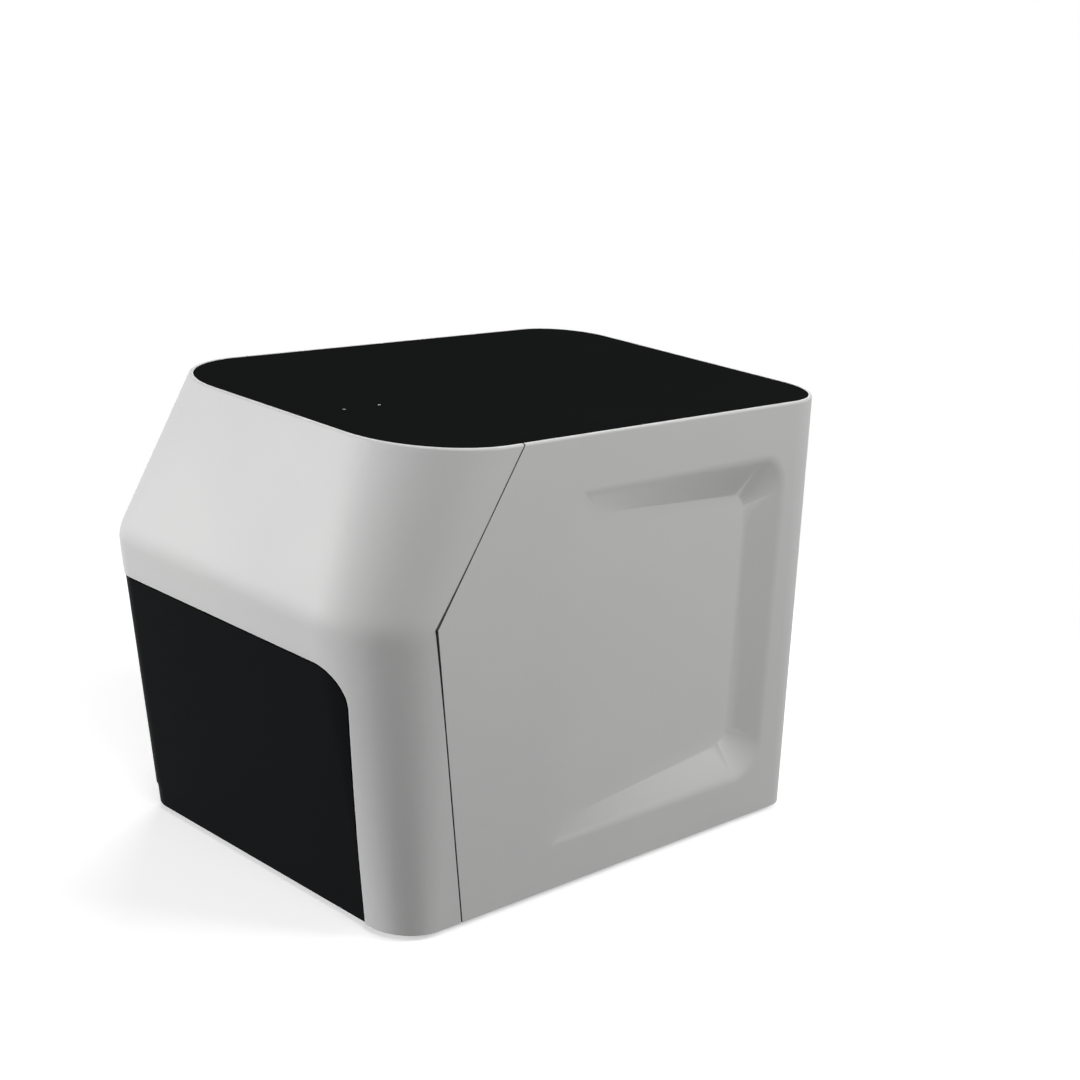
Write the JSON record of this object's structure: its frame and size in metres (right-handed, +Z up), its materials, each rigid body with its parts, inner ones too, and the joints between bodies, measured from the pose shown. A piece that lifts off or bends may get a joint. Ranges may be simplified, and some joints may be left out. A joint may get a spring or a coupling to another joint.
{
  "type": "real-time pcr machine",
  "caption": "Bench-top thermal cycler with a sloping two-part housing, flat top cover and a motor-driven sample drawer behind a wrap-round front.",
  "frame": {"origin": "on the bench, under the middle of the housing (box bottom centre)", "axes": "+X to the right seen from the front, -Y out of the front, +Z up"},
  "size_m": [0.352, 0.5475, 0.406],
  "materials": {
    "shell": "satin moulded, light grey",
    "cover_black": "satin black",
    "fascia_black": "satin black",
    "light_pipe": "clear, frosted end",
    "circuit_board": "solder mask",
    "sheet_steel": "zinc plated sheet",
    "black_sheet": "black powder coat",
    "panel_grey": "light grey powder coat",
    "rubber": "matt",
    "rail_steel": "bright zinc",
    "brass": "turned",
    "aluminium": "machined",
    "block_metal": "plated, satin",
    "black_metal": "black anodised",
    "ceramic": "matt white",
    "black_plastic": "fine texture",
    "lens_glass": "polished",
    "splitter_glass": "coated",
    "filter_glass": "coated",
    "mirror": "front surface"
  },
  "bodies": {
    "root": {"front_shell": "shell", "rear_shell": "shell", "top_cover": "cover_black", "status_light_pipes": "light_pipe", "indicator_board": "circuit_board", "control_board": "circuit_board", "port_board": "circuit_board", "base_plate": "sheet_steel", "left_side_frame": "sheet_steel", "right_side_frame": "sheet_steel", "front_bulkhead": "black_sheet", "rear_panel": "panel_grey", "slide_brackets": "sheet_steel", "motor_bracket": "sheet_steel", "power_supply": "sheet_steel", "rubber_feet": "rubber", "drawer_seal": "rubber", "outer_rails": "rail_steel", "lid_guide_posts": "rail_steel", "housing_screws": "rail_steel", "bearing_blocks": "aluminium", "drive_motor": "black_metal", "lid_actuators": "black_metal", "wheel_motor": "black_metal", "rear_fan_frames": "black_plastic", "optics_deck": "aluminium", "field_lens": "lens_glass", "fold_mirror": "mirror", "mirror_hood": "black_sheet", "beam_splitter": "splitter_glass", "splitter_mount": "black_metal", "light_module": "black_metal", "camera_lens": "black_metal", "detector_camera": "black_metal", "camera_stand": "aluminium", "power_inlet": "black_plastic", "network_socket": "rail_steel", "data_socket": "rail_steel"},
    "drawer": {"drawer_fascia": "fascia_black", "drawer_tray": "black_sheet", "inner_rails": "rail_steel", "heat_sink": "aluminium", "peltier_modules": "ceramic", "sample_block": "block_metal", "block_surround": "black_plastic", "drive_nut": "brass", "block_fan_frame": "black_plastic"},
    "slide_members": {"middle_rails": "rail_steel"},
    "drive_screw": {"drive_screw": "rail_steel"},
    "block_fan": {"block_fan_rotor": "black_plastic"},
    "left_fan": {"left_fan_rotor": "black_plastic"},
    "right_fan": {"right_fan_rotor": "black_plastic"},
    "heated_lid": {"heated_lid": "aluminium", "lid_carrier": "black_metal", "lid_shafts": "rail_steel"},
    "filter_wheel": {"filter_wheel": "black_metal", "wheel_filters": "filter_glass"},
    "power_rocker": {"power_rocker": "black_plastic"}
  },
  "joints": [
    {"name": "drawer_slide", "type": "slide", "parent": "root", "child": "drawer", "axis": [0, -1, 0], "range_m": [0, 0.215]},
    {"name": "slide_member_travel", "type": "slide", "parent": "root", "child": "slide_members", "axis": [0, -1, 0], "range_m": [0, 0.1076]},
    {"name": "drive_screw_turn", "type": "hinge", "parent": "root", "child": "drive_screw", "pos_m": [0, 0, 0.033], "axis": [0, 1, 0], "range_deg": [0, 7741]},
    {"name": "block_fan_spin", "type": "hinge", "parent": "drawer", "child": "block_fan", "pos_m": [0, -0.12535, 0.06], "axis": [0, 0, 1], "continuous": true},
    {"name": "left_fan_spin", "type": "hinge", "parent": "root", "child": "left_fan", "pos_m": [-0.048, 0.26125, 0.16], "axis": [0, 1, 0], "continuous": true},
    {"name": "right_fan_spin", "type": "hinge", "parent": "root", "child": "right_fan", "pos_m": [0.048, 0.26125, 0.16], "axis": [0, 1, 0], "continuous": true},
    {"name": "lid_lift", "type": "slide", "parent": "root", "child": "heated_lid", "axis": [0, 0, 1], "range_m": [-0.01, 0]},
    {"name": "filter_wheel_turn", "type": "hinge", "parent": "root", "child": "filter_wheel", "pos_m": [-0.037, 0.00665, 0.2658], "axis": [0, 1, 0], "continuous": true},
    {"name": "power_rocker_tilt", "type": "hinge", "parent": "root", "child": "power_rocker", "pos_m": [-0.03, 0.26575, 0.072], "axis": [1, 0, 0], "range_deg": [0, 14]}
  ],
  "couplings": [
    {"joint": "slide_member_travel", "follows": "drawer_slide", "ratio": 0.5},
    {"joint": "drive_screw_turn", "follows": "drawer_slide", "rad_per_m": 628.32}
  ]
}
